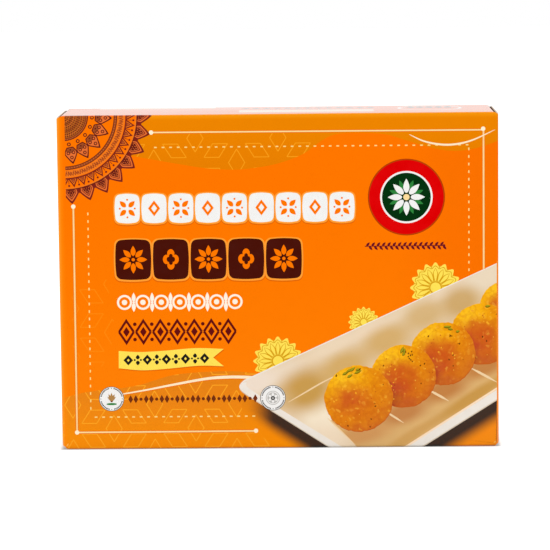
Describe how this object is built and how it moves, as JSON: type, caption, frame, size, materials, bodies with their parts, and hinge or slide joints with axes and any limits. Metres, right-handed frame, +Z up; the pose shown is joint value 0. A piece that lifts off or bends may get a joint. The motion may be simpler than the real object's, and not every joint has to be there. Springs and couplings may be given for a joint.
{
  "type": "paperboard sweets carton",
  "caption": "Shut tuck-end paperboard carton for boondi ladoo sweets, a wide shallow box that stands on its long narrow side, with printed panels and folded end closures.",
  "frame": {"origin": "middle of the base, on the surface that the carton stands on", "axes": "+X across the wide front panel to its right end as seen from the front, +Y from the front panel to the back panel, +Z up"},
  "size_m": [0.25, 0.063, 0.1915],
  "materials": {
    "printed_board": "orange printed paperboard, glossy varnish",
    "raw_board": "unprinted grey-brown board at cut edges and inside the slits, matt"
  },
  "bodies": {
    "root": {"carton": "printed_board"}
  },
  "joints": []
}
